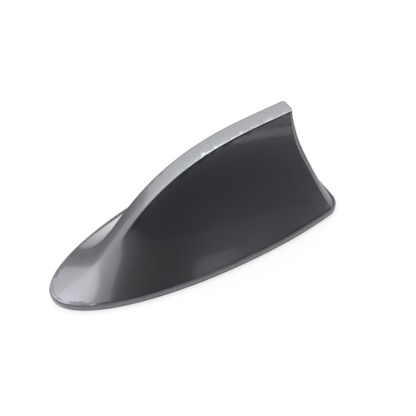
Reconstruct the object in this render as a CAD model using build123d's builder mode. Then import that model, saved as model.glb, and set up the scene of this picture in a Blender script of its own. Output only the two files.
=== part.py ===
from build123d import *
from math import asin, atan2, cos, degrees, radians, sin, sqrt, tan
import os

# Stick-on shark fin aerial. The nose points along -X, the fin rises along +Z, and it rests on Z = 0.
# All sizes are in millimetres.

# Plan of the cover
length = 155.0
width = 65.4
widest_from_nose = 114.0
tail_taper = 3.2
tail_corner_radius = 8.5

# Profile of the spine, measured from the nose and from the resting face
height = 64.3
nose_height, nose_slope = 3.4, 0.6
toe_from_nose, toe_height, toe_slope = 17.5, 7.3, 0.3
climb_from_nose, climb_height, climb_slope = 33.5, 21.9, 1.3
back_from_nose, back_drop, back_slope = 63.5, 13.0, 0.64
crest_from_tip = 10.0

# Spine band, and how it opens into the nose
spine_width = 8.2
nose_crown_radius, spine_crown_radius = 32.0, 60.0
crown_from_nose, crown_to_nose = 8.0, 24.0
spread_from_nose = 40.5
spread_rate = 0.0208
spine_edge = 0.8
soft_from_nose = 48.0
soft_rate = 0.006

# Concave sides: how far they lean towards the upright at the spine and towards the level at the rim
nose_steepness, fin_steepness = 0.3, 0.75
nose_flare, fin_flare = 0.75, 0.82
nose_half_width = 20.0
nose_blend = 3.0
least_span, least_drop = 1.0, 0.6

# Concave rear, from the tip of the spine down to the tail
tip_from_tail = 21.4
rear_upper_reach, rear_upper_drop = 3.0, 19.0
rear_lower_reach, rear_lower_rise = 10.2, 19.0
rear_edge_radius, rear_edge_share = 5.0, 0.75
tip_edge, tip_cut = 1.35, 0.1

# Rim, wall and seal of the cover
rim_top = 4.6
rim_edge_radius = 1.5
rim_ledge = 2.0
rim_wall = 2.4
wall = 2.0
seal_height = 0.8
seal_inset = 0.5
bead_width = 0.9
bead_height = 1.0
bead_clearance = 0.05

# Base plate and the tape below it
tape_thickness = 0.8
tape_width = 6.5
tape_inset = 1.0
plate_thickness = 1.5
plate_clearance = 0.25
plate_rib_height = 1.4
plate_rib_width = 1.2
plate_rib_length = 17.0
plate_rib_spread = 16.5

# Cover screws and the bosses that they pull together
screw_diameter = 2.4
screw_clearance = 0.1
screw_hole = 3.2
screw_head_diameter = 5.2
screw_head_height = 1.7
screw_well_clearance = 0.3
screw_web = 2.0
boss_diameter = 7.0
plate_boss_diameter = 9.0
screw_bite = 5.0
boss_height = 7.5
boss_web = 1.6
recess_width, recess_depth, recess_share = 0.9, 0.8, 0.6
front_screw_from_nose, front_screw_spread = 44.0, 18.0
rear_screw_from_tail, rear_screw_spread = 17.5, 30.0

# Cable outlet
outlet_from_nose = 28.0
outlet_hole = 8.0
outlet_bore = 5.0
grommet_flange = 11.5
grommet_flange_height = 0.6
grommet_collar = 1.4

# Amplifier board and its standoffs
board_gap = 1.2
board_width = 30.0
board_thickness = 1.6
board_corner_radius = 1.5
standoff_height = 3.6
standoff_diameter = 5.0
standoff_inset = 3.6
board_screw = 1.8
board_screw_hole = 2.3
board_screw_head = 3.8
board_screw_head_height = 1.3
board_screw_bite = 3.0
ground_thickness = 0.4
ground_clearance = 0.4
ground_tab_width = 4.0

# Parts on the board
part_gap = 3.0
can_share, can_width, can_height, can_wall, can_corner_radius = 0.25, 15.0, 3.6, 0.3, 1.0
chip_length, chip_width, chip_height, chip_chamfer = 6.0, 5.0, 1.3, 0.3
capacitor_length, capacitor_width, capacitor_height = 3.2, 1.6, 1.4
capacitor_pitch, capacitor_chamfer = 3.4, 0.2
drum_diameter, drum_waist, drum_height, drum_flange = 5.2, 3.4, 3.6, 0.7
drum_pitch = 8.0
terminal_length, terminal_width, terminal_height = 7.0, 6.5, 5.0
terminal_setback, terminal_edge_radius = 1.0, 0.8
terminal_barrel, terminal_bore, terminal_reach = 4.0, 2.6, 3.0

# Mast that carries the coil and the top plate
mast_from_tip = 9.5
foot_length, foot_width, foot_thickness = 11.0, 22.0, 2.0
foot_screw_spread = 15.0
foot_pad_height = 2.4
foot_pad_diameter = 6.0
foot_corner_radius = 3.0
post_diameter = 7.0
post_top = 42.0
blade_length, blade_thickness = 8.0, 3.0
coil_foot = 12.0
coil_pitch = 4.8
coil_turns = 5
strip_width, strip_thickness = 1.5, 0.5
coil_clearance = 0.02

# Folded top plate
sheet_thickness = 0.4
plate_front_from_mast, plate_rear_from_mast = 42.0, 4.6
ridge_drop = 4.6
wing_height = 9.0
sheet_clearance = 0.05

# Contact strips
clip_thickness = 0.4
clip_width = 2.4
clip_land = 5.0
clip_gap = 0.02

os.makedirs("parts", exist_ok=True)

# Derived places
nose = -length / 2
tail = length / 2
widest = nose + widest_from_nose
tip = tail - tip_from_tail
crest = tip - crest_from_tip
plate_bottom = tape_thickness
plate_top = plate_bottom + plate_thickness
screw_seat = plate_bottom + screw_head_height + screw_well_clearance
boss_seat = screw_seat + screw_web
plate_inset = rim_wall + plate_clearance
front_screw = nose + front_screw_from_nose
rear_screw = tail - rear_screw_from_tail
screw_places = [(x, side * spread / 2)
                for x, spread in ((front_screw, front_screw_spread), (rear_screw, rear_screw_spread))
                for side in (-1, 1)]
outlet = nose + outlet_from_nose
mast = tip - mast_from_tip
board_front = front_screw + plate_boss_diameter / 2 + board_gap
board_rear = mast - foot_length / 2 - board_gap
board_length = board_rear - board_front
board_middle = (board_front + board_rear) / 2
standoff_top = plate_top + standoff_height
board_top = standoff_top + board_thickness
standoff_places = [(board_middle + sx * (board_length / 2 - standoff_inset),
                    sy * (board_width / 2 - standoff_inset)) for sx in (-1, 1) for sy in (-1, 1)]
foot_seat = plate_top + foot_pad_height
foot_top = foot_seat + foot_thickness
foot_screw_places = [(mast, -foot_screw_spread / 2), (mast, foot_screw_spread / 2)]
terminal_face = board_front + terminal_setback
can_length = can_share * board_length
can_middle = terminal_face + terminal_length + part_gap + can_length / 2
chip_middle = can_middle + can_length / 2 + part_gap + capacitor_pitch + capacitor_width / 2
drum_middle = board_rear - clip_land - part_gap - drum_diameter / 2

# Points of the spine's profile: place, height and slope
spine_points = [(nose, nose_height, nose_slope),
                (nose + toe_from_nose, toe_height, toe_slope),
                (nose + climb_from_nose, climb_height, climb_slope),
                (nose + back_from_nose, height - back_drop, back_slope),
                (crest, height, 0.0)]

# The concave rear, drawn as length against height
rear_foot = (tail - rim_ledge, rim_top)
with BuildLine():
    rear_curve = Bezier((tip, height),
                        (tip + rear_upper_reach, height - rear_upper_drop),
                        (rear_foot[0] - rear_lower_reach, rear_foot[1] + rear_lower_rise),
                        rear_foot)


def smooth_step(start, end, value):
    """Rise from 0 at start to 1 at end, level at both ends."""
    t = min(1.0, max(0.0, (value - start) / (end - start)))
    return t * t * (3 - 2 * t)


def smooth_limit(value, limit):
    """A value held below a limit without a kink."""
    return value * limit / (value + limit)


def smooth_ceiling(value, most):
    """A value that is kept while it is well below a ceiling, and runs level into the ceiling."""
    return (value ** -8 + most ** -8) ** (-1 / 8)


def smooth_floor(value, least, blend):
    """A value held above a least value without a kink, over a blend on each side of it."""
    above = value - least
    return least + (above + sqrt(above ** 2 + blend ** 2)) / 2


def point_on(curve, measure, value):
    """Find the point of a curve where a measure, which grows along the curve, has a value."""
    low, high = 0.0, 1.0
    for _ in range(40):
        middle = (low + high) / 2
        if measure(curve @ middle) < value:
            low = middle
        else:
            high = middle
    return curve @ low


def cubic(x, start, end):
    """Height at a place between two points, on the cubic that has the slope of each."""
    span = end[0] - start[0]
    t = (x - start[0]) / span
    return ((1 + 2 * t) * (1 - t) ** 2 * start[1] + t * (1 - t) ** 2 * span * start[2]
            + t * t * (3 - 2 * t) * end[1] - t * t * (1 - t) * span * end[2])


def spine_height(x):
    """Height of the middle of the spine at a place along the length."""
    if x <= nose:
        return nose_height + nose_slope * (x - nose)
    for start, end in zip(spine_points, spine_points[1:]):
        if x < end[0]:
            return cubic(x, start, end)
    return height


def rear_place(z):
    """Place of the rear face along the length at a height."""
    if z >= height:
        return tip
    if z <= rear_foot[1]:
        return rear_foot[0] + (rear_foot[1] - z) * rear_lower_reach / rear_lower_rise
    return point_on(rear_curve, lambda p: -p.Y, -z).X


def tail_arc_radius():
    """Radius of the slightly rounded sides between the widest place and the tail."""
    return (length - widest_from_nose) ** 2 / (2 * tail_taper) + tail_taper / 2


def plan_half_width(x):
    """Half the width of the plan at a place along the length."""
    if x <= nose:
        return 0.0
    if x < widest:
        return width / 2 * sqrt(1 - ((widest - x) / widest_from_nose) ** 2)
    radius = tail_arc_radius()
    return width / 2 - radius + sqrt(radius ** 2 - (x - widest) ** 2)


def footprint(inset, z):
    """Plan of the cover, drawn in by an inset, as a sketch at a height."""
    radius = tail_arc_radius()
    end = tail - inset
    sweep_angle = degrees(asin((end - widest) / (radius - inset)))
    with BuildSketch(Plane.XY.offset(z)) as plan:
        with BuildLine():
            EllipticalCenterArc((widest, 0), widest_from_nose - inset, width / 2 - inset,
                                start_angle=90, arc_size=90)
            side = CenterArc((widest, width / 2 - radius), radius - inset, 90, -sweep_angle)
            Line(side @ 1, (end, 0))
            mirror(about=Plane.XZ)
        make_face()
        fillet(plan.vertices().group_by(Axis.X)[-1], max(tail_corner_radius - inset, rim_wall))
    return plan.sketch


def section_points(x, inset):
    """Points of one half of the cross-section: spine band, rounded shoulder and concave side."""
    from_nose = x - nose
    top = spine_height(x) - inset
    shoulder = spine_width / 2 + spread_rate * max(0.0, spread_from_nose - from_nose) ** 2
    shoulder = smooth_ceiling(shoulder, nose_half_width) - inset
    rounding = spine_edge + inset / 2 + soft_rate * max(0.0, soft_from_nose - from_nose) ** 2
    rounding = smooth_limit(rounding, shoulder)
    band = shoulder - rounding
    crown = smooth_step(crown_from_nose, crown_to_nose, from_nose)
    crown = nose_crown_radius + (spine_crown_radius - nose_crown_radius) * crown
    band_height = top - band ** 2 / (2 * crown)
    shoulder_height = band_height - band / crown * rounding

    # Where the side runs into the rim, and its slopes there and at the shoulder
    span = plan_half_width(x) - rim_ledge - inset - shoulder
    span = smooth_floor(span, least_span, nose_blend)
    drop = smooth_floor(shoulder_height - rim_top, least_drop, nose_blend / 2)
    chord = degrees(atan2(drop, span))
    into_fin = smooth_step(toe_from_nose, back_from_nose, from_nose)
    steepness = nose_steepness + (fin_steepness - nose_steepness) * into_fin
    flare = nose_flare + (fin_flare - nose_flare) * into_fin
    upper = radians(chord + (90 - chord) * steepness)
    lower = radians(chord * flare)

    # The side runs on past the rim, so that the plan trims it cleanly
    overrun = 4.0
    span += overrun
    drop += overrun * tan(lower)
    reach = (span * sin(lower) - drop * cos(lower)) / sin(lower - upper)
    rounding = smooth_limit(rounding, reach)

    def on_side(distance):
        return (shoulder + distance * cos(upper), shoulder_height - distance * sin(upper))

    foot = (shoulder + span, shoulder_height - drop)
    return top, (band, band_height), on_side(0.0), on_side(rounding), on_side(reach), foot


def section(x):
    """Closed cross-section of the fin at a place along the length."""
    floor = -height
    top, band, shoulder, side_start, bend, foot = section_points(x, 0.0)

    def other(point):
        return (-point[0], point[1])

    with BuildSketch(Plane.YZ.offset(x)) as face:
        with BuildLine():
            Bezier(other(band), (0, 2 * top - band[1]), band)
            Bezier(band, shoulder, side_start)
            Bezier(side_start, bend, foot)
            Polyline(foot, (foot[0], floor), (-foot[0], floor), other(foot))
            Bezier(other(foot), other(bend), other(side_start))
            Bezier(other(side_start), other(shoulder), other(band))
        make_face()
    return face.sketch


def core_section(x):
    """Closed cross-section of the hollow: flats that touch the inside of the curved wall."""
    floor = -height
    _, band, _, side_start, bend, foot = section_points(x, wall)
    upper_bend = ((side_start[0] + bend[0]) / 2, (side_start[1] + bend[1]) / 2)
    lower_bend = ((bend[0] + foot[0]) / 2, (bend[1] + foot[1]) / 2)
    half = [band, side_start, upper_bend, lower_bend, foot, (foot[0], floor)]
    with BuildSketch(Plane.YZ.offset(x)) as face:
        with BuildLine():
            Polyline(*half, *[(-y, z) for y, z in reversed(half)], close=True)
        make_face()
    return face.sketch


def side_half_width(x, z, inset):
    """Half-width of the fin's side at a place along the length and a height."""
    start, bend, foot = section_points(x, inset)[3:]
    if z >= start[1]:
        return start[0]
    low, high = 0.0, 1.0
    for _ in range(40):
        t = (low + high) / 2
        if (1 - t) ** 2 * start[1] + 2 * t * (1 - t) * bend[1] + t * t * foot[1] > z:
            low = t
        else:
            high = t
    return (1 - low) ** 2 * start[0] + 2 * low * (1 - low) * bend[0] + low ** 2 * foot[0]


def rear_section(z, inset):
    """Plan of all that lies ahead of the rear face at a height, with the rear edges rounded."""
    rear = rear_place(z) - inset
    low_down = 1 - smooth_step(rim_top, height / 2, z)
    radius = rear_edge_radius + (tail_corner_radius - inset - rear_edge_radius) * low_down ** 2
    half = side_half_width(rear - radius, z, inset)
    radius = min(radius, rear_edge_share * half)
    edge_end = (rear - radius, half + 0.05 * radius)
    flare_out = (edge_end[0] - width / 4, edge_end[1] + width / 8)
    with BuildSketch(Plane.XY.offset(z)) as face:
        with BuildLine():
            Line((rear, radius - half), (rear, half - radius))
            Bezier((rear, half - radius), (rear, half), edge_end)
            Polyline(edge_end, flare_out, (2 * nose, width), (2 * nose, -width),
                     (flare_out[0], -flare_out[1]), (edge_end[0], -edge_end[1]))
            Bezier((edge_end[0], -edge_end[1]), (rear, -half), (rear, radius - half))
        make_face()
    return face.sketch


def rear_levels():
    """Heights of the rear's plans, closer together near the rim."""
    past_end = 4.0
    shares = (0.03, 0.1, 0.2, 0.33, 0.5, 0.7, 0.88, 1.0)
    fin_levels = [rim_top + (height - rim_top) * share for share in shares]
    return [-past_end, rim_top / 2, *fin_levels, height + past_end]


def section_places():
    """Places of the cross-sections, closer together where the nose turns up into the fin."""
    past_end = 2.0
    steps = (0.2, 0.5, 0.75, 1.0, 1.3)
    nose_places = [nose + toe_from_nose * s for s in steps]
    climb_places = [nose + climb_from_nose * s for s in (0.84, 1.0, 1.22)]
    fin_places = [nose + back_from_nose * s for s in (0.8, 1.0, 1.25)]
    rear_places = [crest - 2 * crest_from_tip, crest, crest + 2 * crest_from_tip]
    return [nose - past_end, *nose_places, *climb_places, *fin_places, *rear_places, tail + past_end]


def round_marks(places, diameter, z):
    """Circles of one diameter at a list of places, as a sketch at a height."""
    with BuildSketch(Plane.XY.offset(z)) as marks:
        with Locations(*places):
            Circle(diameter / 2)
    return marks.sketch


def cross_marks(places, reach, slot, z):
    """Cross recesses at a list of places, as a sketch at a height."""
    with BuildSketch(Plane.XY.offset(z)) as marks:
        with Locations(*places):
            Rectangle(reach, slot)
            Rectangle(slot, reach)
    return marks.sketch


# Rim of the cover, with its rounded upper edge
with BuildPart() as rim_form:
    extrude(footprint(0.0, seal_height), amount=rim_top - seal_height)
    fillet(rim_form.faces().sort_by(Axis.Z)[-1].edges(), rim_edge_radius)

# Outer form of the cover: the fin, trimmed to the plan and at the rear, standing on the rim
with BuildPart() as outer_form:
    loft([section(x) for x in section_places()])
    extrude(footprint(rim_edge_radius / 3, seal_height), amount=2 * height, mode=Mode.INTERSECT)
    loft([rear_section(z, 0.0) for z in rear_levels()], mode=Mode.INTERSECT)
    with BuildSketch(Plane.XZ.offset(-width)):
        with BuildLine():
            tip_round = Bezier((tip - tip_edge, height + tip_cut), (tip, height),
                               (tip + tip_cut, height - tip_edge))
            Polyline(tip_round @ 1, (tail, height - tip_edge), (tail, 2 * height),
                     (tip - tip_edge, 2 * height), tip_round @ 0)
        make_face()
    extrude(amount=2 * width, mode=Mode.SUBTRACT)
    add(rim_form.part)

# Hollow of the cover, open below, with room for the base plate out to the rim
with BuildPart() as cavity:
    loft([core_section(x) for x in section_places()])
    extrude(footprint(rim_wall, 0.0), amount=2 * height, mode=Mode.INTERSECT)
    loft([rear_section(z, wall) for z in rear_levels()], mode=Mode.INTERSECT)
    extrude(footprint(rim_wall, 0.0), amount=plate_top + plate_clearance)

# Screw bosses of the cover, each tied to the side wall by a web
with BuildPart() as screw_bosses:
    with BuildSketch(Plane.XY.offset(boss_seat)):
        for x, y in screw_places:
            with Locations((x, y)):
                Circle(boss_diameter / 2)
                Rectangle(boss_web, width, align=(Align.CENTER, Align.MIN if y > 0 else Align.MAX))
    extrude(amount=boss_height)
    add(outer_form.part, mode=Mode.INTERSECT)

# Painted cover
seal_middle = (seal_inset + rim_wall) / 2
groove_half = bead_width / 2 + bead_clearance
with BuildPart() as fin_cover:
    add(outer_form.part)
    add(cavity.part, mode=Mode.SUBTRACT)
    add(screw_bosses.part)
    cover_pilot = screw_diameter + 2 * screw_clearance
    extrude(round_marks(screw_places, cover_pilot, boss_seat), amount=screw_bite + screw_clearance,
            mode=Mode.SUBTRACT)
    with BuildSketch(Plane.XY.offset(seal_height)):
        add(footprint(seal_middle - groove_half, seal_height))
        add(footprint(seal_middle + groove_half, seal_height), mode=Mode.SUBTRACT)
    extrude(amount=bead_height + bead_clearance, mode=Mode.SUBTRACT)
fin_cover.part.label = "fin_cover"
export_step(fin_cover.part, "parts/fin_cover.step")

# Rubber seal under the rim, with a bead that sits in the groove of the cover
with BuildPart() as rim_seal:
    with BuildSketch():
        add(footprint(seal_inset, 0.0))
        add(footprint(rim_wall, 0.0), mode=Mode.SUBTRACT)
    extrude(amount=seal_height)
    with BuildSketch(Plane.XY.offset(seal_height)):
        add(footprint(seal_middle - bead_width / 2, seal_height))
        add(footprint(seal_middle + bead_width / 2, seal_height), mode=Mode.SUBTRACT)
    extrude(amount=bead_height)
rim_seal.part.label = "rim_seal"
export_step(rim_seal.part, "parts/rim_seal.step")

# Base plate with screw bosses, standoffs, pads for the mast and stiffening ribs
with BuildPart() as base_plate:
    extrude(footprint(plate_inset, plate_bottom), amount=plate_thickness)
    extrude(round_marks(screw_places, plate_boss_diameter, plate_top), amount=boss_seat - plate_top)
    extrude(round_marks(standoff_places, standoff_diameter, plate_top), amount=standoff_height)
    extrude(round_marks(foot_screw_places, foot_pad_diameter, plate_top), amount=foot_pad_height)
    with BuildSketch(Plane.XY.offset(plate_top)):
        with Locations((outlet, 0), (rear_screw, 0)):
            with GridLocations(plate_rib_length, plate_rib_spread, 1, 2):
                Rectangle(plate_rib_length, plate_rib_width)
    extrude(amount=plate_rib_height)
    well = screw_head_diameter + 2 * screw_well_clearance
    well_depth = screw_seat - plate_bottom
    extrude(round_marks(screw_places, well, plate_bottom), amount=well_depth, mode=Mode.SUBTRACT)
    extrude(round_marks(screw_places, screw_hole, plate_bottom), amount=boss_seat, mode=Mode.SUBTRACT)
    extrude(round_marks([(outlet, 0)], outlet_hole, plate_bottom), amount=boss_seat, mode=Mode.SUBTRACT)
    pilot = board_screw + 2 * screw_clearance
    pilot_depth = board_screw_bite + screw_clearance
    extrude(round_marks(standoff_places, pilot, standoff_top), amount=-pilot_depth, mode=Mode.SUBTRACT)
    extrude(round_marks(foot_screw_places, pilot, foot_seat), amount=-pilot_depth, mode=Mode.SUBTRACT)
base_plate.part.label = "base_plate"
export_step(base_plate.part, "parts/base_plate.step")

# Foam tape round the edge of the underside
with BuildPart() as adhesive_ring:
    with BuildSketch():
        add(footprint(plate_inset + tape_inset, 0.0))
        add(footprint(plate_inset + tape_inset + tape_width, 0.0), mode=Mode.SUBTRACT)
    extrude(amount=tape_thickness)
adhesive_ring.part.label = "adhesive_ring"
export_step(adhesive_ring.part, "parts/adhesive_ring.step")

# Rubber bush in the cable outlet, turned about the axis of the hole
with BuildPart() as cable_grommet:
    with BuildSketch(Plane.XZ):
        with BuildLine():
            bore = outlet_bore / 2
            neck = outlet_hole / 2
            flange = grommet_flange / 2
            lower = plate_bottom - grommet_flange_height
            upper = plate_top + grommet_flange_height
            Polyline((outlet + bore, lower), (outlet + flange, lower), (outlet + flange, plate_bottom),
                     (outlet + neck, plate_bottom), (outlet + neck, plate_top), (outlet + flange, plate_top),
                     (outlet + neck, upper), (outlet + neck, upper + grommet_collar),
                     (outlet + bore, upper + grommet_collar), close=True)
        make_face()
    revolve(axis=Axis((outlet, 0, 0), (0, 0, 1)))
cable_grommet.part.label = "cable_grommet"
export_step(cable_grommet.part, "parts/cable_grommet.step")

# Cover screws, driven from below, with a cross recess in each head
with BuildPart() as cover_screws:
    head = screw_seat - screw_head_height
    extrude(round_marks(screw_places, screw_head_diameter, screw_seat), amount=-screw_head_height)
    extrude(round_marks(screw_places, screw_diameter, screw_seat), amount=screw_web + screw_bite)
    extrude(cross_marks(screw_places, recess_share * screw_head_diameter, recess_width, head),
            amount=recess_depth, mode=Mode.SUBTRACT)
cover_screws.part.label = "cover_screws"
export_step(cover_screws.part, "parts/cover_screws.step")

# Stamped ground sheet on the base plate, with tabs bent up to the board
with BuildPart() as ground_plate:
    with BuildSketch(Plane.XY.offset(plate_top)):
        with Locations((board_middle, 0)):
            Rectangle(board_length, board_width)
        with Locations(*standoff_places):
            Circle(standoff_diameter / 2 + ground_clearance, mode=Mode.SUBTRACT)
    extrude(amount=ground_thickness)
    with BuildSketch(Plane.XY.offset(plate_top)):
        with Locations((board_middle, 0)):
            with GridLocations(1, board_width - ground_thickness, 1, 2):
                Rectangle(ground_tab_width, ground_thickness)
    extrude(amount=standoff_height)
ground_plate.part.label = "ground_plate"
export_step(ground_plate.part, "parts/ground_plate.step")

# Amplifier board
with BuildPart() as amplifier_board:
    with BuildSketch(Plane.XY.offset(standoff_top)):
        with Locations((board_middle, 0)):
            RectangleRounded(board_length, board_width, board_corner_radius)
        with Locations(*standoff_places):
            Circle(board_screw_hole / 2, mode=Mode.SUBTRACT)
    extrude(amount=board_thickness)
amplifier_board.part.label = "amplifier_board"
export_step(amplifier_board.part, "parts/amplifier_board.step")

# Screws that hold the board to its standoffs
with BuildPart() as board_screws:
    extrude(round_marks(standoff_places, board_screw_head, board_top), amount=board_screw_head_height)
    extrude(round_marks(standoff_places, board_screw, board_top), amount=-board_thickness - board_screw_bite)
board_screws.part.label = "board_screws"
export_step(board_screws.part, "parts/board_screws.step")

# Screws that hold the mast to its pads
with BuildPart() as holder_screws:
    extrude(round_marks(foot_screw_places, board_screw_head, foot_top), amount=board_screw_head_height)
    extrude(round_marks(foot_screw_places, board_screw, foot_top), amount=-foot_thickness - board_screw_bite)
holder_screws.part.label = "holder_screws"
export_step(holder_screws.part, "parts/holder_screws.step")

# Folded can over the input stage
with BuildPart() as shield_can:
    with BuildSketch(Plane.XY.offset(board_top)):
        with Locations((can_middle, 0)):
            RectangleRounded(can_length, can_width, can_corner_radius)
    extrude(amount=can_height)
    offset(amount=-can_wall, openings=shield_can.faces().sort_by(Axis.Z)[0])
shield_can.part.label = "shield_can"
export_step(shield_can.part, "parts/shield_can.step")

# Integrated circuit with chamfered edges
with BuildPart() as amplifier_chip:
    with BuildSketch(Plane.XY.offset(board_top)):
        with Locations((chip_middle, 0)):
            Rectangle(chip_length, chip_width)
    extrude(amount=chip_height)
    chamfer(amplifier_chip.faces().sort_by(Axis.Z)[-1].edges(), chip_chamfer)
amplifier_chip.part.label = "amplifier_chip"
export_step(amplifier_chip.part, "parts/amplifier_chip.step")

# Row of chip capacitors on each side of the integrated circuit
with BuildPart() as chip_capacitors:
    with BuildSketch(Plane.XY.offset(board_top)):
        with Locations((chip_middle, 0)):
            with GridLocations(capacitor_pitch, chip_width + capacitor_length + 2 * part_gap, 3, 2):
                Rectangle(capacitor_width, capacitor_length)
    extrude(amount=capacitor_height)
    chamfer(chip_capacitors.edges().filter_by(Axis.Y).group_by(Axis.Z)[-1], capacitor_chamfer)
chip_capacitors.part.label = "chip_capacitors"
export_step(chip_capacitors.part, "parts/chip_capacitors.step")

# Drum inductors of the filter: one turned about its upright axis, and its mirror image
with BuildPart() as filter_coils:
    drum_foot = (drum_middle, drum_pitch / 2, board_top)
    outside = drum_diameter / 2
    inside = drum_waist / 2
    upper = drum_height - drum_flange
    with BuildSketch(Plane(drum_foot, x_dir=(1, 0, 0), z_dir=(0, -1, 0))):
        with BuildLine():
            Polyline((0, 0), (outside, 0), (outside, drum_flange), (inside, drum_flange), (inside, upper),
                     (outside, upper), (outside, drum_height), (0, drum_height), close=True)
        make_face()
    revolve(axis=Axis(drum_foot, (0, 0, 1)))
    mirror(about=Plane.XZ)
filter_coils.part.label = "filter_coils"
export_step(filter_coils.part, "parts/filter_coils.step")

# Socket for the aerial lead, facing the outlet
with BuildPart() as cable_terminal:
    with BuildSketch(Plane.XY.offset(board_top)):
        with Locations((terminal_face, 0)):
            Rectangle(terminal_length, terminal_width, align=(Align.MIN, Align.CENTER))
    extrude(amount=terminal_height)
    fillet(cable_terminal.edges().filter_by(Axis.X).group_by(Axis.Z)[-1], terminal_edge_radius)
    with BuildSketch(Plane.YZ.offset(terminal_face)):
        with Locations((0, board_top + terminal_height / 2)):
            Circle(terminal_barrel / 2)
    extrude(amount=-terminal_reach)
    with BuildSketch(Plane.YZ.offset(terminal_face - terminal_reach)):
        with Locations((0, board_top + terminal_height / 2)):
            Circle(terminal_bore / 2)
    extrude(amount=terminal_reach + terminal_length / 2, mode=Mode.SUBTRACT)
cable_terminal.part.label = "cable_terminal"
export_step(cable_terminal.part, "parts/cable_terminal.step")

# Ridge of the top plate, a straight fold under the spine
front_end = mast - plate_front_from_mast
rear_end = mast + plate_rear_from_mast
ridge_front = (front_end, spine_height(front_end) - wall - ridge_drop)
ridge_rear = (rear_end, spine_height(rear_end) - wall - ridge_drop)
ridge_slope = (ridge_rear[1] - ridge_front[1]) / (ridge_rear[0] - ridge_front[0])


def under_ridge(x):
    """Height of the underside of the ridge at a place along the length."""
    return ridge_front[1] + ridge_slope * (x - ridge_front[0]) - sheet_thickness * sqrt(1 + ridge_slope ** 2)


# Moulded mast: foot, round post for the coil and flat blade for the top plate
with BuildPart() as element_holder:
    with BuildSketch(Plane.XY.offset(foot_seat)):
        with Locations((mast, 0)):
            RectangleRounded(foot_length, foot_width, foot_corner_radius)
        with Locations(*foot_screw_places):
            Circle(board_screw_hole / 2, mode=Mode.SUBTRACT)
    extrude(amount=foot_thickness)
    with BuildSketch(Plane.XY.offset(foot_top)):
        with Locations((mast, 0)):
            Circle(post_diameter / 2)
    extrude(amount=post_top - foot_top)
    with BuildSketch(Plane.XY.offset(foot_top)):
        with Locations((mast, 0)):
            Circle(post_diameter / 2 + strip_thickness + coil_clearance)
    extrude(amount=coil_foot - strip_width / 2 - foot_top)
    with BuildSketch(Plane.XZ.offset(-blade_thickness / 2)):
        with BuildLine():
            front = mast - blade_length / 2
            rear = mast + blade_length / 2
            Polyline((front, post_top), (rear, post_top), (rear, under_ridge(rear)),
                     (front, under_ridge(front)), close=True)
        make_face()
    extrude(amount=blade_thickness)
element_holder.part.label = "element_holder"
export_step(element_holder.part, "parts/element_holder.step")

# Wound radiator: a flat strip round the post
coil_radius = post_diameter / 2 + coil_clearance + strip_thickness / 2
with BuildPart() as aerial_coil:
    with BuildLine(Plane((mast, 0, coil_foot))):
        turns = Helix(coil_pitch, coil_pitch * coil_turns, coil_radius)
    with BuildSketch(Plane(turns @ 0, x_dir=(1, 0, 0), z_dir=turns % 0)):
        Rectangle(strip_thickness, strip_width)
    sweep(path=turns, is_frenet=True)
aerial_coil.part.label = "aerial_coil"
export_step(aerial_coil.part, "parts/aerial_coil.step")

# Top plate: one sheet folded over the blade
with BuildPart() as top_plate:
    along = Vector(ridge_rear[0] - ridge_front[0], 0, ridge_rear[1] - ridge_front[1])
    across = Plane((ridge_front[0], 0, ridge_front[1]), x_dir=(0, 1, 0), z_dir=along)
    inner_half = blade_thickness / 2 + sheet_clearance
    with BuildSketch(across):
        Rectangle(2 * (inner_half + sheet_thickness), wing_height, align=(Align.CENTER, Align.MAX))
        with Locations((0, -sheet_thickness)):
            Rectangle(2 * inner_half, wing_height, align=(Align.CENTER, Align.MAX), mode=Mode.SUBTRACT)
    extrude(amount=along.length)
    fillet(top_plate.faces().sort_by(Axis.Z)[-1].edges().sort_by(SortBy.LENGTH)[-2:], 1.5 * sheet_thickness)
top_plate.part.label = "top_plate"
export_step(top_plate.part, "parts/top_plate.step")

# Strip from the board to the foot of the coil
coil_face = mast - max(coil_radius + strip_thickness / 2, blade_length / 2) - clip_gap
clip_back = coil_face - clip_thickness
with BuildPart() as feed_clip:
    with BuildSketch(Plane.XZ.offset(-clip_width / 2)):
        with BuildLine():
            land = board_rear - clip_land
            clip_head = coil_foot + strip_width
            land_top = board_top + clip_thickness
            Polyline((land, board_top), (coil_face, board_top), (coil_face, clip_head),
                     (clip_back, clip_head), (clip_back, land_top), (land, land_top), close=True)
        make_face()
    extrude(amount=clip_width)
feed_clip.part.label = "feed_clip"
export_step(feed_clip.part, "parts/feed_clip.step")

# Strip from the head of the coil to the top plate
with BuildPart() as top_clip:
    with BuildSketch(Plane.XZ.offset(-clip_width / 2)):
        with BuildLine():
            clip_foot = coil_foot + coil_pitch * coil_turns - strip_width
            Polyline((clip_back, clip_foot), (coil_face, clip_foot), (coil_face, under_ridge(coil_face)),
                     (clip_back, under_ridge(clip_back)), close=True)
        make_face()
    extrude(amount=clip_width)
top_clip.part.label = "top_clip"
export_step(top_clip.part, "parts/top_clip.step")
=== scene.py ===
from math import cos, pi, radians, sin

import bpy
import numpy as np
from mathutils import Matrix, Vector
from mathutils.bvhtree import BVHTree
from mathutils.interpolate import poly_3d_calc


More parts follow.
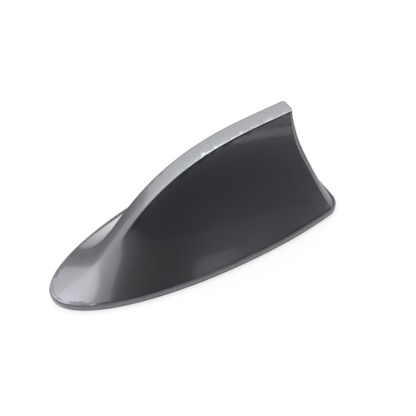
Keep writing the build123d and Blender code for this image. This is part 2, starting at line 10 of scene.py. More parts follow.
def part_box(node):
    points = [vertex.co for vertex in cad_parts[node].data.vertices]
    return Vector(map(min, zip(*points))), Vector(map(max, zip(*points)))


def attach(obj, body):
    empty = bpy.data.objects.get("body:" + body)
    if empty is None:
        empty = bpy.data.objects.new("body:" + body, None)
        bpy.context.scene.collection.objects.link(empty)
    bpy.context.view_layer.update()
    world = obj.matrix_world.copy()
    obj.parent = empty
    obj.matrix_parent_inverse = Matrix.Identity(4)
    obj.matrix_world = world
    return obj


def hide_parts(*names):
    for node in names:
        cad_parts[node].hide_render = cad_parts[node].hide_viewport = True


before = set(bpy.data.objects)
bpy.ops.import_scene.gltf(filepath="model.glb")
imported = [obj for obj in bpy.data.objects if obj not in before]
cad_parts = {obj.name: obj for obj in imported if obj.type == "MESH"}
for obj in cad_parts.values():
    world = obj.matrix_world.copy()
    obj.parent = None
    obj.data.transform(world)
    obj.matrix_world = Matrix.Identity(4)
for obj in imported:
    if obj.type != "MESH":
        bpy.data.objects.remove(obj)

bl_info = {
    "name": "Shark Fin Aerial",
    "version": (1, 0, 0),
    "blender": (4, 5, 0),
    "location": "View3D > Sidebar > Aerial",
    "description": "Finishes the parts of a stick-on roof aerial and sets up a plain studio round it",
    "category": "Object",
}

MILLIMETRE = 0.001
COVER_LOW, COVER_HIGH = (Vector(corner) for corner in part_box("fin_cover"))

# Faces of the cover, told apart by the upright part of their normals
WALL_BELOW = 0.05
TOP_ABOVE = 0.02
LEDGE_ABOVE = 0.97

# Copy of the cover; a corner's normal is looked up a share of the way to the middle of its face
MERGE_DISTANCE = 0.001 * MILLIMETRE
NOSE_CUTS = 2
CORNER_PULL = 0.03

# Farthest wall that a corner of the rim belongs to, and room above the ledge
WALL_REACH = 4 * MILLIMETRE
LEDGE_MARGIN = 0.05 * MILLIMETRE

# Grid of the soft normals of the nose, from a margin above the rim, and the reach of its blur in widths
GRID_STEP = 0.5 * MILLIMETRE
GRID_MARGIN = 0.2 * MILLIMETRE
BLUR_REACH = 3
LEAST_SHARE = 1e-9

# Wander of a finish, in grains, and the part of the noise over which its colour changes
WANDER = 12
WANDER_DETAIL = 4
WANDER_FROM, WANDER_TO = 0.3, 0.7

# Cards on the floor, seen only in reflections: bands of colour by their depth along the view, from the
# middle of the fin's foot; the dark bands are painted shade and the pale ones painted reflections of light
CARD_LIFT = 0.1 * MILLIMETRE
CARDS_FROM, CARDS_TO = -60 * MILLIMETRE, 120 * MILLIMETRE
CARD_BANDS = (
    (-43.8 * MILLIMETRE, "front_shade_colour"),
    (-38.4 * MILLIMETRE, "stripe_reflection_colour"),
    (-32.1 * MILLIMETRE, "stripe_reflection_colour"),
    (-26.7 * MILLIMETRE, "front_shade_colour"),
    (-15.9 * MILLIMETRE, "front_shade_colour"),
    (-6 * MILLIMETRE, "pale_colour"),
    (21 * MILLIMETRE, "pale_colour"),
    (75 * MILLIMETRE, "back_shade_colour"),
)

# Pale space round the fin, a painted reflection of lit floor: its fade into painted shade with depth, and
# its soft edge in half sizes
PALE_FADE_FROM, PALE_FADE_TO = -0.6 * MILLIMETRE, 48 * MILLIMETRE
PALE_FADE = 0.65
PALE_FULL, PALE_GONE = 0.95, 1.15

# Even light, by the parts of a direction towards the back and upwards
FRONT_UP_TO, BACK_FROM = -0.15, 0.25
HORIZON_UP_TO = 0.35

# Soft edge of the footlight, in half sizes
FOOTLIGHT_FULL, FOOTLIGHT_GONE = 0.75, 1.15

# Camera
IMAGE_SIDE = 416
SENSOR_WIDTH = 36
NEAREST_SEEN = 10 * MILLIMETRE


# Settings


class CoverSettings(bpy.types.PropertyGroup):
    """Softness of the nose and place of the rim of the moulded cover."""

    softness: bpy.props.FloatProperty(
        name="Softness", description="How far the ridges of the nose are rounded off",
        subtype="DISTANCE", unit="LENGTH", min=0.0005, max=0.01, default=0.007)
    soft_length: bpy.props.FloatProperty(
        name="Soft length", description="Length of the fully soft part of the nose",
        subtype="DISTANCE", unit="LENGTH", min=0, max=0.1, default=0.03)
    crisp_from: bpy.props.FloatProperty(
        name="Crisp from", description="Distance from the nose at which the ridges are crisp again",
        subtype="DISTANCE", unit="LENGTH", min=0, max=0.1, default=0.058)
    rim_top: bpy.props.FloatProperty(
        name="Rim top", description="Height of the ledge on top of the rim",
        subtype="DISTANCE", unit="LENGTH", min=0, max=0.02, default=0.0046)
    rim_round: bpy.props.FloatProperty(
        name="Rim edge", description="Radius of the edge of the rim",
        subtype="DISTANCE", unit="LENGTH", min=0, max=0.005, default=0.0015)
    flare_reach: bpy.props.FloatProperty(
        name="Flare reach", description="How far inside the rim the slope of the flare is taken",
        subtype="DISTANCE", unit="LENGTH", min=0, max=0.01, default=0.003)


class PaintSettings(bpy.types.PropertyGroup):
    """Clear-coated metallic paint of the cover."""

    colour: bpy.props.FloatVectorProperty(
        name="Paint", description="Main colour of the paint under the clear coat",
        subtype="COLOR", size=4, min=0, max=1, default=(0.155, 0.160, 0.176, 1))
    flake_colour: bpy.props.FloatVectorProperty(
        name="Flakes", description="Colour of the brighter metal flakes in the paint",
        subtype="COLOR", size=4, min=0, max=1, default=(0.23, 0.234, 0.25, 1))
    metallic: bpy.props.FloatProperty(
        name="Metallic", description="How much the paint under the coat shines like metal",
        subtype="FACTOR", min=0, max=1, default=1)
    roughness: bpy.props.FloatProperty(
        name="Roughness", description="How far the flakes spread a reflection",
        subtype="FACTOR", min=0, max=1, default=0.3)
    coat_roughness: bpy.props.FloatProperty(
        name="Coat roughness", description="How far the clear coat spreads a reflection",
        subtype="FACTOR", min=0, max=1, default=0.03)
    coat_ior: bpy.props.FloatProperty(
        name="Coat index", description="Index of refraction of the clear coat",
        min=1, max=2, default=1.5)
    flake_size: bpy.props.FloatProperty(
        name="Flake size", description="Mean distance between the flakes",
        subtype="DISTANCE", unit="LENGTH", min=0.00005, max=0.002, default=0.00012)
    flake_share: bpy.props.FloatProperty(
        name="Plain flakes", description="Share of the flakes that have the main colour",
        subtype="FACTOR", min=0, max=1, default=0.75)
    flake_depth: bpy.props.FloatProperty(
        name="Flake depth", description="Depth of the relief of the flakes",
        subtype="DISTANCE", unit="LENGTH", min=0, max=0.001, default=0.000004)
    flake_relief: bpy.props.FloatProperty(
        name="Flake relief", description="Share of the relief of the flakes that shows",
        subtype="FACTOR", min=0, max=1, default=0.06)
    ripple_size: bpy.props.FloatProperty(
        name="Ripple", description="Width of the slow waves in the clear coat",
        subtype="DISTANCE", unit="LENGTH", min=0.0005, max=0.05, default=0.006)
    ripple_depth: bpy.props.FloatProperty(
        name="Ripple depth", description="Depth of the waves in the clear coat",
        subtype="DISTANCE", unit="LENGTH", min=0, max=0.001, default=0.00002)
    ripple_relief: bpy.props.FloatProperty(
        name="Ripple relief", description="Share of the waves in the clear coat that shows",
        subtype="FACTOR", min=0, max=1, default=0.25)


class PartsSettings(bpy.types.PropertyGroup):
    """Colours of the parts under and inside the cover."""

    rubber: bpy.props.FloatVectorProperty(
        name="Rubber", description="Colour of the rim seal and the cable bush",
        subtype="COLOR", size=4, min=0, max=1, default=(0.018, 0.018, 0.019, 1))
    foam: bpy.props.FloatVectorProperty(
        name="Foam tape", description="Colour of the tape on the underside",
        subtype="COLOR", size=4, min=0, max=1, default=(0.10, 0.10, 0.10, 1))
    plastic: bpy.props.FloatVectorProperty(
        name="Base plastic", description="Colour of the moulded base plate",
        subtype="COLOR", size=4, min=0, max=1, default=(0.032, 0.033, 0.035, 1))
    steel: bpy.props.FloatVectorProperty(
        name="Screw steel", description="Colour of the plated screws",
        subtype="COLOR", size=4, min=0, max=1, default=(0.84, 0.84, 0.85, 1))
    tin: bpy.props.FloatVectorProperty(
        name="Tinned sheet", description="Colour of the folded and stamped sheets",
        subtype="COLOR", size=4, min=0, max=1, default=(0.70, 0.70, 0.68, 1))
    board: bpy.props.FloatVectorProperty(
        name="Board", description="Colour of the solder mask on the board",
        subtype="COLOR", size=4, min=0, max=1, default=(0.016, 0.16, 0.05, 1))
    ceramic: bpy.props.FloatVectorProperty(
        name="Capacitors", description="Colour of the fired capacitor bodies",
        subtype="COLOR", size=4, min=0, max=1, default=(0.45, 0.31, 0.18, 1))
    ferrite: bpy.props.FloatVectorProperty(
        name="Ferrite", description="Colour of the sintered drums and of the chip",
        subtype="COLOR", size=4, min=0, max=1, default=(0.055, 0.055, 0.06, 1))
    moulding: bpy.props.FloatVectorProperty(
        name="Mast plastic", description="Colour of the mast and the cable socket",
        subtype="COLOR", size=4, min=0, max=1, default=(0.72, 0.71, 0.66, 1))
    brass: bpy.props.FloatVectorProperty(
        name="Brass", description="Colour of the coil and the contact strips",
        subtype="COLOR", size=4, min=0, max=1, default=(0.74, 0.53, 0.24, 1))


class StudioSettings(bpy.types.PropertyGroup):
    """Floor, cards, even light, lamps and camera."""

    floor_side: bpy.props.FloatProperty(
        name="Floor", description="Side of the square floor",
        subtype="DISTANCE", unit="LENGTH", min=1, max=50, default=8)
    floor_colour: bpy.props.FloatVectorProperty(
        name="Floor colour", description="Colour of the floor",
        subtype="COLOR", size=4, min=0, max=1, default=(0.92, 0.92, 0.92, 1))
    floor_glow: bpy.props.FloatProperty(
        name="Floor white", description="Share of plain white in what is seen of the floor",
        subtype="FACTOR", min=0, max=1, default=0.75)
    # Painted shade: the dark front card is seen only in reflections and darkens the near side of the fin
    front_shade_colour: bpy.props.FloatVectorProperty(
        name="Front card", description="Colour of the dark card that the near side of the fin mirrors",
        subtype="COLOR", size=4, min=0, max=1, default=(0.073, 0.079, 0.092, 1))
    # Painted reflection: the pale stripe on the front card puts a light patch under the tip
    stripe_reflection_colour: bpy.props.FloatVectorProperty(
        name="Card stripe", description="Colour of the stripe on the front card that shows under the tip",
        subtype="COLOR", size=4, min=0, max=1, default=(0.66, 0.66, 0.68, 1))
    # Painted shade: the back card is seen only in reflections and darkens the far edges of the fin
    back_shade_colour: bpy.props.FloatVectorProperty(
        name="Back card", description="Colour of the card that the far edges of the fin mirror",
        subtype="COLOR", size=4, min=0, max=1, default=(0.18, 0.18, 0.185, 1))
    # Painted reflection of lit floor: the pale space round the fin is seen only in reflections
    pale_colour: bpy.props.FloatVectorProperty(
        name="Pale space", description="Colour of the pale space round the fin",
        subtype="COLOR", size=4, min=0, max=1, default=(0.84, 0.84, 0.85, 1))
    pale_size: bpy.props.FloatVectorProperty(
        name="Pale size", description="Half length and half width of the pale space round the fin",
        subtype="XYZ_LENGTH", unit="LENGTH", size=2, default=(0.095, 0.05))
    front_sky: bpy.props.FloatProperty(
        name="Front", description="Strength of the even light straight in front of the fin",
        min=0, max=5, default=0.14)
    front_bend: bpy.props.FloatProperty(
        name="Front bend", description="How much stronger the even light in front is towards the sides",
        min=0, max=5, default=0.42)
    back_sky: bpy.props.FloatProperty(
        name="Back", description="Strength of the even light from behind the fin",
        min=0, max=5, default=0.7)
    low_sky: bpy.props.FloatProperty(
        name="Horizon", description="Share of the even light behind the fin that is left at the horizon",
        subtype="FACTOR", min=0, max=1, default=0.75)
    footlight: bpy.props.FloatProperty(
        name="Footlight", description="Strength of the soft light in front that the foot of the fin mirrors",
        min=0, max=5, default=0.75)
    footlight_azimuth: bpy.props.FloatProperty(
        name="Footlight azimuth", description="Direction of the footlight, turned from +X towards +Y",
        subtype="ANGLE", unit="ROTATION", default=radians(-79))
    footlight_elevation: bpy.props.FloatProperty(
        name="Footlight elevation", description="Angle of the middle of the footlight above the horizon",
        subtype="ANGLE", unit="ROTATION", default=radians(8.3))
    footlight_size: bpy.props.FloatVectorProperty(
        name="Footlight size", description="Half width and half height of the footlight, 1 m away",
        subtype="XYZ_LENGTH", unit="LENGTH", size=2, default=(0.17, 0.065))
    softbox: bpy.props.FloatProperty(
        name="Softbox", description="Brightness of the large lamp above and behind the fin",
        min=0, max=50, default=1.3)
    softbox_azimuth: bpy.props.FloatProperty(
        name="Softbox azimuth", description="Direction of the large lamp, turned from +X towards +Y",
        subtype="ANGLE", unit="ROTATION", default=radians(105))
    softbox_elevation: bpy.props.FloatProperty(
        name="Softbox elevation", description="Angle of the large lamp above the horizon",
        subtype="ANGLE", unit="ROTATION", default=radians(57))
    softbox_size: bpy.props.FloatVectorProperty(
        name="Softbox size", description="Width and height of the large lamp",
        subtype="XYZ_LENGTH", unit="LENGTH", size=2, default=(2.2, 1.0))
    nose_softbox: bpy.props.FloatProperty(
        name="Nose softbox", description="Brightness of the lamp on the nose side",
        min=0, max=50, default=0.7)
    nose_azimuth: bpy.props.FloatProperty(
        name="Nose azimuth", description="Direction of the lamp on the nose side, turned from +X towards +Y",
        subtype="ANGLE", unit="ROTATION", default=radians(178))
    nose_elevation: bpy.props.FloatProperty(
        name="Nose elevation", description="Angle of the lamp on the nose side above the horizon",
        subtype="ANGLE", unit="ROTATION", default=radians(38))
    nose_size: bpy.props.FloatVectorProperty(
        name="Nose size", description="Width and height of the lamp on the nose side",
        subtype="XYZ_LENGTH", unit="LENGTH", size=2, default=(1.1, 1.5))
    strip: bpy.props.FloatProperty(
        name="Strip", description="Brightness of the narrow lamp above the fin",
        min=0, max=50, default=4)
    strip_place: bpy.props.FloatVectorProperty(
        name="Strip place", description="Place of the narrow lamp",
        subtype="TRANSLATION", unit="LENGTH", size=3, default=(0.5, 0.22, 0.9))
    strip_size: bpy.props.FloatVectorProperty(
        name="Strip size", description="Length and width of the narrow lamp",
        subtype="XYZ_LENGTH", unit="LENGTH", size=2, default=(1.7, 0.24))
    view_turn: bpy.props.FloatProperty(
        name="View turn", description="Turn of the view round the upright axis, from a view along +Y",
        subtype="ANGLE", unit="ROTATION", default=radians(-31))
    view_drop: bpy.props.FloatProperty(
        name="View drop", description="Angle by which the camera looks down",
        subtype="ANGLE", unit="ROTATION", default=radians(55))
    camera_place: bpy.props.FloatVectorProperty(
        name="Camera", description="Place of the camera",
        subtype="TRANSLATION", unit="LENGTH", size=3, default=(-0.07988, -0.15241, 0.26661))
    focal_pixels: bpy.props.FloatProperty(
        name="Focal length", description="Focal length in pixels of the square image",
        min=50, max=5000, default=600)


# Nodes


def connect(tree, node, inputs):
    """Links a node's inputs to sockets, or sets them to plain values."""
    for name, value in inputs.items():
        if isinstance(value, bpy.types.NodeSocket):
            tree.links.new(value, node.inputs[name])
        else:
            node.inputs[name].default_value = value


def add_node(tree, kind, inputs, **options):
    """A new node with its options set and its inputs connected."""
    node = tree.nodes.new(kind)
    for name, value in options.items():
        setattr(node, name, value)
    connect(tree, node, inputs)
    return node


def computed(tree, operation, *values):
    """The result of a sum on sockets and plain numbers."""
    node = add_node(tree, "ShaderNodeMath", dict(enumerate(values)), operation=operation)
    return node.outputs["Value"]


def vectors(tree, operation, *values):
    """The outputs of a sum on vectors."""
    node = add_node(tree, "ShaderNodeVectorMath", dict(enumerate(values)), operation=operation)
    return node.outputs


def half_sizes_away(tree, place, centre, half_sizes):
    """How far a place is from a centre, counted in half sizes."""
    offset = vectors(tree, "SUBTRACT", place, centre)["Vector"]
    scaled = vectors(tree, "DIVIDE", offset, half_sizes)["Vector"]
    return vectors(tree, "LENGTH", scaled)["Value"]


def smooth_step(tree, value, low, high, at_low=0.0, at_high=1.0):
    """A result that changes smoothly while a value goes from one limit to the other."""
    limits = {"Value": value, "From Min": low, "From Max": high, "To Min": at_low, "To Max": at_high}
    node = add_node(tree, "ShaderNodeMapRange", limits, interpolation_type="SMOOTHSTEP")
    return node.outputs["Result"]


def noise(tree, place, size, detail=2.0):
    """A noise texture whose features are about one size across."""
    node = add_node(tree, "ShaderNodeTexNoise", {"Vector": place, "Scale": 1 / size, "Detail": detail})
    return node.outputs["Fac"]


def cells(tree, place, size):
    """A random grey for each of many small cells."""
    texture = add_node(tree, "ShaderNodeTexVoronoi", {"Vector": place, "Scale": 1 / size})
    grey = add_node(tree, "ShaderNodeSeparateColor", {"Color": texture.outputs["Color"]})
    return grey.outputs["Red"]


def ramp(tree, value, stops):
    """Colours between the stops, each a place from 0 to 1 and a colour."""
    node = add_node(tree, "ShaderNodeValToRGB", {"Fac": value})
    elements = node.color_ramp.elements
    elements[0].position, elements[0].color = stops[0]
    elements[1].position, elements[1].color = stops[-1]
    for position, colour in stops[1:-1]:
        elements.new(position).color = colour
    return node.outputs["Color"]


def bump(tree, height, depth, relief=1.0):
    """A normal that is raised by a texture, up to a depth."""
    node = add_node(tree, "ShaderNodeBump", {"Height": height, "Distance": depth, "Strength": relief})
    return node.outputs["Normal"]


# Finishes


def new_material(name):
    """A material with its Principled shader and a socket that gives the object's own coordinates."""
    material = bpy.data.materials.new(name)
    material.use_nodes = True
    nodes = material.node_tree.nodes
    place = nodes.new("ShaderNodeTexCoord")
    return material, nodes["Principled BSDF"], place.outputs["Object"]


def shade(colour, factor):
    """A colour made lighter or darker."""
    return tuple(min(1.0, channel * factor) for channel in colour[:3]) + (1.0,)


def grained(name, colour, grain, spread, roughness, depth=0.01 * MILLIMETRE, metallic=0.0):
    """A finish whose colour wanders a little and whose surface has a fine grain."""
    material, shader, place = new_material(name)
    tree = material.node_tree
    wander = noise(tree, place, WANDER * grain, WANDER_DETAIL)
    stops = [(WANDER_FROM, shade(colour, 1 - spread)), (WANDER_TO, shade(colour, 1 + spread))]
    connect(tree, shader, {
        "Base Color": ramp(tree, wander, stops),
        "Normal": bump(tree, noise(tree, place, grain), depth),
        "Roughness": roughness,
        "Metallic": metallic,
    })
    return material


def metallic_paint(paint):
    """Dark metal flakes under a clear coat."""
    material, shader, place = new_material("metallic paint")
    tree = material.node_tree
    plain, bright = tuple(paint.colour), tuple(paint.flake_colour)
    flakes = cells(tree, place, paint.flake_size)
    ripple = noise(tree, place, paint.ripple_size, detail=1)
    connect(tree, shader, {
        "Base Color": ramp(tree, flakes, [(0, plain), (paint.flake_share, plain), (1, bright)]),
        "Normal": bump(tree, flakes, paint.flake_depth, paint.flake_relief),
        "Metallic": paint.metallic,
        "Roughness": paint.roughness,
        "Coat Normal": bump(tree, ripple, paint.ripple_depth, paint.ripple_relief),
        "Coat Weight": 1,
        "Coat Roughness": paint.coat_roughness,
        "Coat IOR": paint.coat_ior,
    })
    return material


def finish(material, *names):
    """Gives CAD nodes a finish."""
    for name in names:
        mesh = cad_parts[name].data
        mesh.materials.clear()
        mesh.materials.append(material)


# Moulded cover


class Surface:
    """The surface of a CAD mesh, which gives its exact normal at a point."""

    def __init__(self, mesh):
        self.corners = [Vector(vertex.co) for vertex in mesh.vertices]
        self.normals = [corner.vector.copy() for corner in mesh.corner_normals]
        self.loops = [tuple(face.loop_indices) for face in mesh.polygons]
        self.faces = [tuple(face.vertices) for face in mesh.polygons]
        self.tree = BVHTree.FromPolygons(self.corners, self.faces)
        middle = (COVER_LOW + COVER_HIGH) / 2
        outer_walls = [tuple(face.vertices) for face in mesh.polygons
                       if abs(face.normal.z) < WALL_BELOW and face.normal.dot(face.center - middle) > 0]
        self.outer_walls = BVHTree.FromPolygons(self.corners, outer_walls)

    def normal(self, face, point):
        """The normal at a point of a face, blended from the face's corners."""
        weights = poly_3d_calc([self.corners[vertex] for vertex in self.faces[face]], point)
        total = Vector()
        for weight, loop in zip(weights, self.loops[face]):
            total += weight * self.normals[loop]
        return total.normalized()

    def nearest_normal(self, point, near):
        """The normal at a point, on the face that is nearest to a place beside it."""
        _, _, face, _ = self.tree.find_nearest(near)
        return self.normal(face, point)

    def from_above(self, x, y):
        """The place and the normal that are seen straight from above, if there are any."""
        place, _, face, _ = self.tree.ray_cast(Vector((x, y, 2 * COVER_HIGH.z)), Vector((0, 0, -1)))
        if face is None:
            return None, None
        return place, self.normal(face, place)


def blurred(values, weights, width):
    """A grid of vectors, each the mean of those round it that have a weight."""
    reach = int(BLUR_REACH * width)
    total, share = values * weights[..., None], weights
    for axis in (0, 1):
        wide_total, wide_share = np.zeros_like(total), np.zeros_like(share)
        for offset in range(-reach, reach + 1):
            factor = np.exp(-0.5 * (offset / width) ** 2)
            wide_total += factor * np.roll(total, offset, axis)
            wide_share += factor * np.roll(share, offset, axis)
        total, share = wide_total, wide_share
    return total / np.maximum(share, LEAST_SHARE)[..., None]


class SoftNose:
    """Normals of the nose with its ridges rounded off, on a grid that is seen from above."""

    def __init__(self, surface, shape):
        margin = BLUR_REACH * shape.softness
        self.low = Vector((COVER_LOW.x - margin, COVER_LOW.y - margin, 0))
        self.start = COVER_LOW.x + shape.soft_length
        self.end = COVER_LOW.x + shape.crisp_from
        columns = int((shape.crisp_from + 3 * margin) / GRID_STEP)
        rows = int((COVER_HIGH.y - COVER_LOW.y + 2 * margin) / GRID_STEP)
        normals, weights = np.zeros((columns, rows, 3)), np.zeros((columns, rows))
        for column, row in np.ndindex(columns, rows):
            x, y = self.low.x + column * GRID_STEP, self.low.y + row * GRID_STEP
            place, normal = surface.from_above(x, y)
            if place and place.z > shape.rim_top + GRID_MARGIN:
                normals[column, row] = normal
                weights[column, row] = 1
        self.grid = blurred(normals, weights, shape.softness / GRID_STEP)

    def soften(self, point, normal):
        """The normal at a point, the softer the nearer it is to the tip of the nose."""
        share = min(1.0, max(0.0, (self.end - point.x) / (self.end - self.start)))
        share = share * share * (3 - 2 * share)
        along, across = (point.x - self.low.x) / GRID_STEP, (point.y - self.low.y) / GRID_STEP
        column, row = int(along), int(across)
        u, v = along - column, across - row
        first = (1 - v) * self.grid[column, row] + v * self.grid[column, row + 1]
        second = (1 - v) * self.grid[column + 1, row] + v * self.grid[column + 1, row + 1]
        soft = Vector((1 - u) * first + u * second).normalized()
        return normal.lerp(soft, share).normalized()


def over_rim(face, shape):
    """Whether a face of the cover lies over the rim and is seen from above."""
    return face.normal.z > TOP_ABOVE and face.center.z > shape.rim_top


def on_rim(face, shape):
    """Whether a face of the cover is on the ledge of the rim or on its edge."""
    low, high = shape.rim_top - shape.rim_round, shape.rim_top + LEDGE_MARGIN
    return face.normal.z > TOP_ABOVE and low < face.center.z < high


class AERIAL_OT_mould_cover(bpy.types.Operator):
    """Copy the cover, shade its nose softer and its rim crisper through its normals, and paint it: metal
    flakes under a clear coat
    """

    bl_idname = "aerial.mould_cover"
    bl_label = "Mould Cover"

    def execute(self, context):
        shape = context.scene.aerial_cover
        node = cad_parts["fin_cover"]
        surface = Surface(node.data)
        nose = SoftNose(surface, shape)
        cover = bpy.data.objects.new("moulded_cover", node.data.copy())
        context.collection.objects.link(cover)
        bpy.ops.object.select_all(action="DESELECT")
        cover.select_set(True)
        context.view_layer.objects.active = cover
        self.merge()
        self.divide_nose(cover.data, nose, shape)
        cover.data.normals_split_custom_set(self.normals(cover.data, surface, nose, shape))
        cover.data.materials.clear()
        cover.data.materials.append(metallic_paint(context.scene.aerial_paint))
        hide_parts("fin_cover")
        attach(cover, "root")
        return {"FINISHED"}

    def merge(self):
        """Joins the loose triangles of the active copy."""
        bpy.ops.object.mode_set(mode="EDIT")
        bpy.ops.mesh.select_all(action="SELECT")
        bpy.ops.mesh.remove_doubles(threshold=MERGE_DISTANCE)
        bpy.ops.mesh.select_all(action="DESELECT")
        bpy.ops.object.mode_set(mode="OBJECT")

    def divide_nose(self, mesh, nose, shape):
        """Divides the faces of the nose of the active copy, so that its normals can change smoothly."""
        for face in mesh.polygons:
            face.select = face.center.x < nose.end and over_rim(face, shape)
        bpy.ops.object.mode_set(mode="EDIT")
        bpy.ops.mesh.select_mode(type="FACE")
        bpy.ops.mesh.subdivide(number_cuts=NOSE_CUTS)
        bpy.ops.object.mode_set(mode="OBJECT")

    def normals(self, mesh, surface, nose, shape):
        """A normal for each corner of each face."""
        found = []
        for face in mesh.polygons:
            for vertex in face.vertices:
                point = mesh.vertices[vertex].co
                normal = surface.nearest_normal(point, point.lerp(face.center, CORNER_PULL))
                if on_rim(face, shape):
                    normal = self.rim_normal(point, face, normal, surface, shape)
                elif point.x < nose.end and over_rim(face, shape):
                    normal = nose.soften(point, normal)
                found.append(normal)
        return found

    def rim_normal(self, point, face, normal, surface, shape):
        """The slope of the flare on the ledge of the rim, and the wall's normal on its edge."""
        place, wall, _, distance = surface.outer_walls.find_nearest(point)
        if distance > WALL_REACH:
            return normal
        if face.normal.z < LEDGE_ABOVE:
            return Vector((wall.x, wall.y, 0)).normalized()
        inside = place - wall * shape.flare_reach
        _, slope = surface.from_above(inside.x, inside.y)
        return slope


# Parts under and inside the cover


class AERIAL_OT_finish_rubber(bpy.types.Operator):
    """Finish the rim seal, the cable bush and the foam tape"""

    bl_idname = "aerial.finish_rubber"
    bl_label = "Finish Rubber"

    def execute(self, context):
        parts = context.scene.aerial_parts
        rubber = grained("seal rubber", parts.rubber, grain=0.4 * MILLIMETRE, spread=0.15, roughness=0.7,
                         depth=0.02 * MILLIMETRE)
        foam = grained("foam tape", parts.foam, grain=0.6 * MILLIMETRE, spread=0.25, roughness=0.95,
                       depth=0.12 * MILLIMETRE)
        finish(rubber, "rim_seal", "cable_grommet")
        finish(foam, "adhesive_ring")
        return {"FINISHED"}


class AERIAL_OT_finish_base(bpy.types.Operator):
    """Finish the moulded base plate"""

    bl_idname = "aerial.finish_base"
    bl_label = "Finish Base"

    def execute(self, context):
        parts = context.scene.aerial_parts
        plastic = grained("base plastic", parts.plastic, grain=0.5 * MILLIMETRE, spread=0.12, roughness=0.55,
                          depth=0.04 * MILLIMETRE)
        finish(plastic, "base_plate")
        return {"FINISHED"}


class AERIAL_OT_finish_metal(bpy.types.Operator):
    """Finish the screws, the sheets, the coil and the contact strips"""

    bl_idname = "aerial.finish_metal"
    bl_label = "Finish Metal"

    def execute(self, context):
        parts = context.scene.aerial_parts
        steel = grained("screw steel", parts.steel, grain=0.2 * MILLIMETRE, spread=0.1, roughness=0.32,
                        metallic=1.0)
        tin = grained("tinned sheet", parts.tin, grain=0.8 * MILLIMETRE, spread=0.08, roughness=0.3,
                      metallic=1.0)
        brass = grained("contact brass", parts.brass, grain=0.5 * MILLIMETRE, spread=0.1, roughness=0.28,
                        metallic=1.0)
        finish(steel, "cover_screws", "board_screws", "holder_screws")
        finish(tin, "ground_plate", "shield_can", "top_plate")
        finish(brass, "aerial_coil", "feed_clip", "top_clip")
        return {"FINISHED"}


class AERIAL_OT_finish_board(bpy.types.Operator):
    """Finish the board, the parts on it and the mast"""

    bl_idname = "aerial.finish_board"
    bl_label = "Finish Board"

    def execute(self, context):
        parts = context.scene.aerial_parts
        mask = grained("solder mask", parts.board, grain=0.6 * MILLIMETRE, spread=0.2, roughness=0.35)
        chip = grained("chip moulding", parts.ferrite, grain=0.2 * MILLIMETRE, spread=0.15, roughness=0.5)
        ceramic = grained("fired ceramic", parts.ceramic, grain=0.3 * MILLIMETRE, spread=0.1, roughness=0.4)
        ferrite = grained("ferrite", parts.ferrite, grain=0.3 * MILLIMETRE, spread=0.15, roughness=0.45)
        mast = grained("mast plastic", parts.moulding, grain=0.5 * MILLIMETRE, spread=0.05, roughness=0.45)
        finish(mask, "amplifier_board")
        finish(chip, "amplifier_chip")
        finish(ceramic, "chip_capacitors")
        finish(ferrite, "filter_coils")
        finish(mast, "element_holder", "cable_terminal")
        return {"FINISHED"}


# Studio


def direction(azimuth, elevation):
    """Unit vector towards a direction: azimuth from +X to +Y, elevation above the horizon."""
    return Vector((cos(elevation) * cos(azimuth), cos(elevation) * sin(azimuth), sin(elevation)))


def floor_material(studio):
    """Pale floor that keeps its shadow and is seen, straight or mirrored, as nearly plain white."""
    material = grained("floor", studio.floor_colour, grain=10 * MILLIMETRE, spread=0.01, roughness=0.9)
    tree = material.node_tree
    path = tree.nodes.new("ShaderNodeLightPath")
    seen = path.outputs["Is Camera Ray"]
    for ray in ("Is Glossy Ray", "Is Transmission Ray"):
        seen = computed(tree, "MAXIMUM", seen, path.outputs[ray])
    white = tree.nodes.new("ShaderNodeEmission")
    blend = add_node(tree, "ShaderNodeMixShader", {
        "Fac": computed(tree, "MULTIPLY", seen, studio.floor_glow),
        1: tree.nodes["Principled BSDF"].outputs["BSDF"],
        2: white.outputs["Emission"],
    })
    connect(tree, tree.nodes["Material Output"], {"Surface": blend.outputs["Shader"]})
    return material


def card_share(depth):
    """A depth along the view as a share of the range over which the cards change."""
    return (depth - CARDS_FROM) / (CARDS_TO - CARDS_FROM)


def card_material(studio):
    """Cards seen only in reflections: the dark bands in front of and behind the fin are painted shade, and
    the pale space round it and the stripe are painted reflections of light.
    """
    material, shader, place = new_material("cards")
    tree = material.node_tree
    view = direction(studio.view_turn + pi / 2, 0)
    along = vectors(tree, "DOT_PRODUCT", place, view)["Value"]
    limits = {"Value": along, "From Min": CARDS_FROM, "From Max": CARDS_TO}
    depth = add_node(tree, "ShaderNodeMapRange", limits).outputs["Result"]
    bands = [(card_share(stop), tuple(getattr(studio, colour))) for stop, colour in CARD_BANDS]
    pale = tuple(studio.pale_colour)
    fade = [(card_share(PALE_FADE_FROM), pale), (card_share(PALE_FADE_TO), shade(pale, PALE_FADE))]
    away = half_sizes_away(tree, place, (0, 0, 0), (*studio.pale_size, 1))
    blend = add_node(tree, "ShaderNodeMix", {
        "Factor": smooth_step(tree, away, PALE_FULL, PALE_GONE),
        "A": ramp(tree, depth, fade),
        "B": ramp(tree, depth, bands),
    }, data_type="RGBA")
    connect(tree, shader, {"Base Color": blend.outputs["Result"], "Roughness": 0.9})
    return material


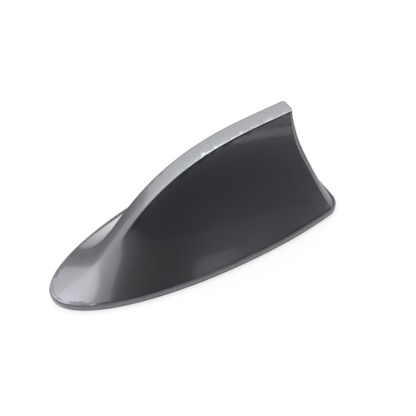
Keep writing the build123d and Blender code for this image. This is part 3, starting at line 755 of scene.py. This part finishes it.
def studio_world(studio):
    """Even light, dim on the camera's side and bright behind the fin, with a soft footlight in front."""
    world = bpy.data.worlds.new("studio")
    world.use_nodes = True
    tree = world.node_tree
    place = tree.nodes.new("ShaderNodeTexCoord").outputs["Object"]
    split = add_node(tree, "ShaderNodeSeparateXYZ", {"Vector": place})
    across, back, up = (split.outputs[axis] for axis in "XYZ")
    aside = computed(tree, "MULTIPLY", across, across)
    front_level = computed(tree, "MULTIPLY_ADD", aside, studio.front_bend, studio.front_sky)
    horizon = studio.low_sky * studio.back_sky
    back_level = smooth_step(tree, up, 0, HORIZON_UP_TO, horizon, studio.back_sky)
    level = smooth_step(tree, back, FRONT_UP_TO, BACK_FROM, front_level, back_level)
    half_width, half_height = studio.footlight_size
    middle = direction(studio.footlight_azimuth, studio.footlight_elevation)
    away = half_sizes_away(tree, place, middle, (half_width, 1, half_height))
    footlight = smooth_step(tree, away, FOOTLIGHT_GONE, FOOTLIGHT_FULL)
    strength = computed(tree, "MULTIPLY_ADD", footlight, studio.footlight, level)
    connect(tree, tree.nodes["Background"], {"Color": (1, 1, 1, 1), "Strength": strength})
    return world


def lay_plane(name, side, height, material):
    """A level square plane."""
    bpy.ops.mesh.primitive_plane_add(size=side, location=(0, 0, height))
    plane = bpy.context.object
    plane.name = name
    plane.data.materials.append(material)
    return plane


def area_lamp(name, place, back, size, brightness):
    """A rectangular lamp with its back to a direction; its power grows with its brightness and its area."""
    bpy.ops.object.light_add(type="AREA", location=place)
    lamp = bpy.context.object
    lamp.name = name
    lamp.data.shape = "RECTANGLE"
    lamp.data.size, lamp.data.size_y = size
    lamp.data.energy = brightness * pi * size[0] * size[1]
    lamp.rotation_euler = back.to_track_quat("Z", "Y").to_euler()


class AERIAL_OT_set_studio(bpy.types.Operator):
    """Lay the floor and the cards, hang the lamps and place the camera"""

    bl_idname = "aerial.set_studio"
    bl_label = "Set Studio"

    def execute(self, context):
        studio = context.scene.aerial_studio
        bpy.ops.object.select_all(action="DESELECT")
        floor = lay_plane("floor", studio.floor_side, 0, floor_material(studio))
        # The cards are seen only in reflections; their colours are painted shade and painted reflections of
        # light
        card = lay_plane("cards", studio.floor_side, CARD_LIFT, card_material(studio))
        card.visible_camera = False
        card.visible_diffuse = False
        card.visible_shadow = False
        context.scene.world = studio_world(studio)
        self.hang_lamps(studio)
        self.place_camera(context.scene, studio)
        context.scene.view_settings.view_transform = "Standard"
        return {"FINISHED"}

    def hang_lamps(self, studio):
        """Hangs two softboxes 1 m from the middle of the fin's foot, and a strip that shines down."""
        behind = direction(studio.softbox_azimuth, studio.softbox_elevation)
        nose_side = direction(studio.nose_azimuth, studio.nose_elevation)
        area_lamp("softbox", behind, behind, studio.softbox_size, studio.softbox)
        area_lamp("nose_softbox", nose_side, nose_side, studio.nose_size, studio.nose_softbox)
        area_lamp("strip", studio.strip_place, Vector((0, 0, 1)), studio.strip_size, studio.strip)

    def place_camera(self, scene, studio):
        """Places the camera and gives it the focal length of the image."""
        turn = (radians(90) - studio.view_drop, 0, studio.view_turn)
        bpy.ops.object.camera_add(location=studio.camera_place, rotation=turn)
        camera = bpy.context.object
        camera.data.sensor_width = SENSOR_WIDTH
        camera.data.lens = studio.focal_pixels * SENSOR_WIDTH / IMAGE_SIDE
        camera.data.clip_start = NEAREST_SEEN
        scene.camera = camera


class AERIAL_PT_panel(bpy.types.Panel):
    """Lists the steps in the sidebar"""

    bl_idname = "AERIAL_PT_panel"
    bl_label = "Shark Fin Aerial"
    bl_space_type = "VIEW_3D"
    bl_region_type = "UI"
    bl_category = "Aerial"

    def draw(self, context):
        for operator in OPERATORS:
            self.layout.operator(operator.bl_idname)


GROUPS = {
    "aerial_cover": CoverSettings,
    "aerial_paint": PaintSettings,
    "aerial_parts": PartsSettings,
    "aerial_studio": StudioSettings,
}
OPERATORS = (
    AERIAL_OT_mould_cover,
    AERIAL_OT_finish_rubber,
    AERIAL_OT_finish_base,
    AERIAL_OT_finish_metal,
    AERIAL_OT_finish_board,
    AERIAL_OT_set_studio,
)


def register():
    for cls in (*GROUPS.values(), *OPERATORS, AERIAL_PT_panel):
        bpy.utils.register_class(cls)
    for name, group in GROUPS.items():
        setattr(bpy.types.Scene, name, bpy.props.PointerProperty(type=group))


def unregister():
    for name in GROUPS:
        delattr(bpy.types.Scene, name)
    for cls in (AERIAL_PT_panel, *reversed(OPERATORS), *reversed(list(GROUPS.values()))):
        bpy.utils.unregister_class(cls)


def main():
    register()
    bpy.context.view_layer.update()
    bpy.ops.aerial.mould_cover()
    bpy.ops.aerial.finish_rubber()
    bpy.ops.aerial.finish_base()
    bpy.ops.aerial.finish_metal()
    bpy.ops.aerial.finish_board()
    bpy.ops.aerial.set_studio()


if __name__ == "__main__":
    main()
